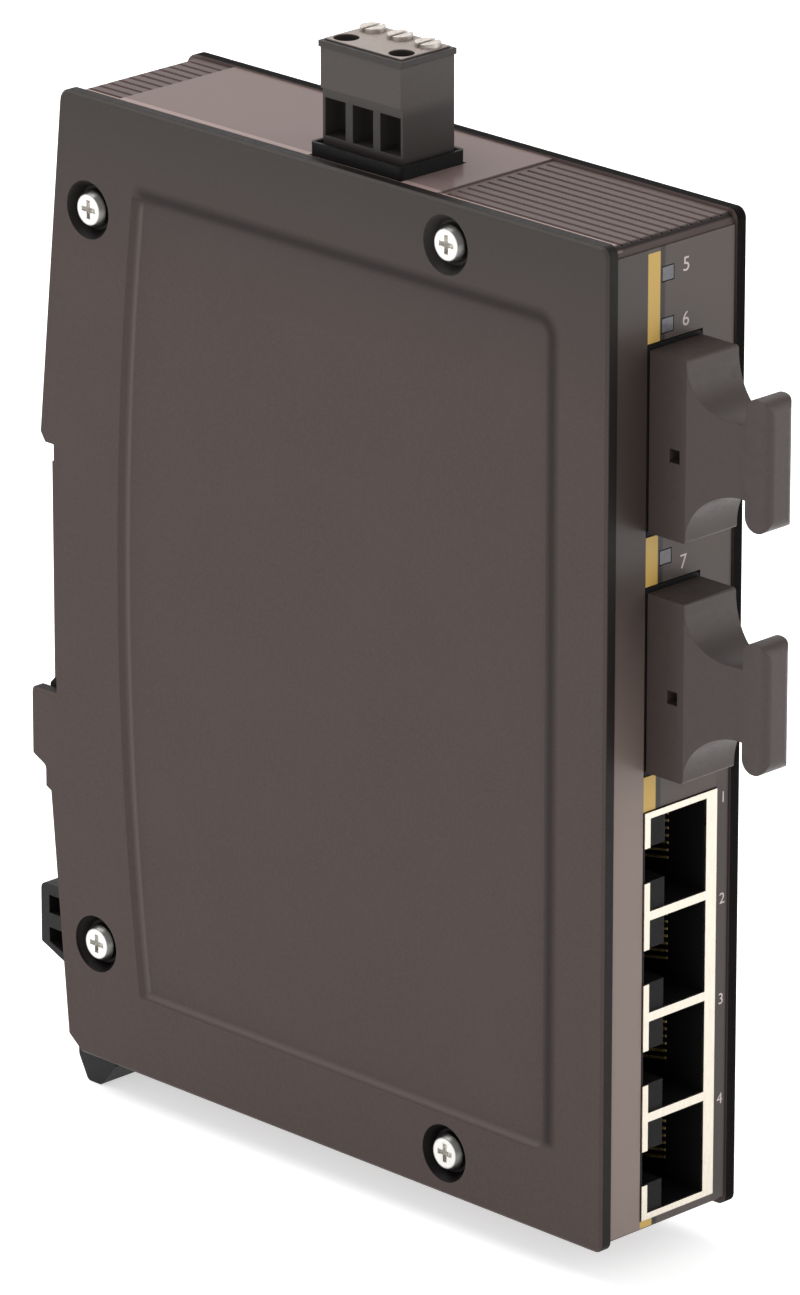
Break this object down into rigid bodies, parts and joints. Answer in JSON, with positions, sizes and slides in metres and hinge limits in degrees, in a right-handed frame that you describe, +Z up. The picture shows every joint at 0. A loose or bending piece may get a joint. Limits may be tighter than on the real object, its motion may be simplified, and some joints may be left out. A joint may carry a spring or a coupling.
{
  "type": "din rail ethernet switch",
  "caption": "Slim rail-mounted network switch in a charcoal case, with modular copper sockets, capped duplex fibre ports, a plug-in power terminal on top and a sprung rail latch.",
  "frame": {"origin": "centre of the flat seat that lies on the rail, at the middle of the case's width", "axes": "+Z up along the case's height, +Y from the front panel towards the rail, X across the width with the screwed cover at -X"},
  "size_m": [0.0254, 0.1266, 0.157],
  "materials": {
    "cover_plastic": "fine-grained charcoal moulding",
    "shell_plastic": "fine-grained charcoal moulding",
    "label_film": "satin grey film with a yellow stripe",
    "screw_steel": "bright plated steel",
    "latch_plastic": "black moulding",
    "spring_steel": "drawn spring wire",
    "board_laminate": "green solder mask",
    "shield_metal": "bright tinned sheet",
    "port_moulding": "black moulding",
    "contact_plating": "gold-plated spring contacts",
    "sleeve_ceramic": "white ceramic",
    "pin_metal": "tin-plated brass",
    "dust_plug_plastic": "soft black moulding",
    "header_plastic": "black moulding",
    "plug_plastic": "black moulding",
    "lens_plastic": "milky light guide",
    "chip_epoxy": "moulded epoxy",
    "can_metal": "drawn metal can"
  },
  "bodies": {
    "case": {"circuit_board": "board_laminate", "clock_crystal": "can_metal", "converter_chip": "chip_epoxy", "cover_screw_1": "screw_steel", "cover_screw_2": "screw_steel", "cover_screw_3": "screw_steel", "cover_screw_4": "screw_steel", "front_label": "label_film", "header_pins": "pin_metal", "input_capacitor_1": "can_metal", "input_capacitor_2": "can_metal", "input_diode": "chip_epoxy", "input_fuse": "chip_epoxy", "jack_contacts_1": "contact_plating", "jack_contacts_2": "contact_plating", "jack_contacts_3": "contact_plating", "jack_contacts_4": "contact_plating", "jack_housing": "port_moulding", "jack_shield": "shield_metal", "latch_spring": "spring_steel", "left_cover": "cover_plastic", "line_transformer_1": "chip_epoxy", "line_transformer_2": "chip_epoxy", "lower_ferrule_sleeves": "sleeve_ceramic", "lower_transceiver": "port_moulding", "lower_transceiver_pins": "pin_metal", "memory_chip": "chip_epoxy", "power_header": "header_plastic", "power_inductor": "chip_epoxy", "right_shell": "shell_plastic", "status_leds": "lens_plastic", "status_light_pipes": "lens_plastic", "switch_chip": "chip_epoxy", "upper_ferrule_sleeves": "sleeve_ceramic", "upper_transceiver": "port_moulding", "upper_transceiver_pins": "pin_metal"},
    "latch": {"rail_latch": "latch_plastic"},
    "terminal": {"power_plug": "plug_plastic", "plug_clamps": "pin_metal", "plug_contacts": "pin_metal", "plug_clamp_screws": "screw_steel"},
    "upper_cap": {"upper_dust_plug": "dust_plug_plastic"},
    "lower_cap": {"lower_dust_plug": "dust_plug_plastic"}
  },
  "joints": [
    {"name": "latch_slide", "type": "slide", "parent": "case", "child": "latch", "axis": [0, 0, -1], "range_m": [0, 0.0035], "stiffness_N_per_m": 1200, "springref_m": -0.002, "deforming": ["latch_spring"]},
    {"name": "terminal_pull", "type": "slide", "parent": "case", "child": "terminal", "axis": [0, 0, 1], "range_m": [0, 0.016]},
    {"name": "upper_cap_pull", "type": "slide", "parent": "case", "child": "upper_cap", "axis": [0, -1, 0], "range_m": [0, 0.014]},
    {"name": "lower_cap_pull", "type": "slide", "parent": "case", "child": "lower_cap", "axis": [0, -1, 0], "range_m": [0, 0.014]}
  ]
}
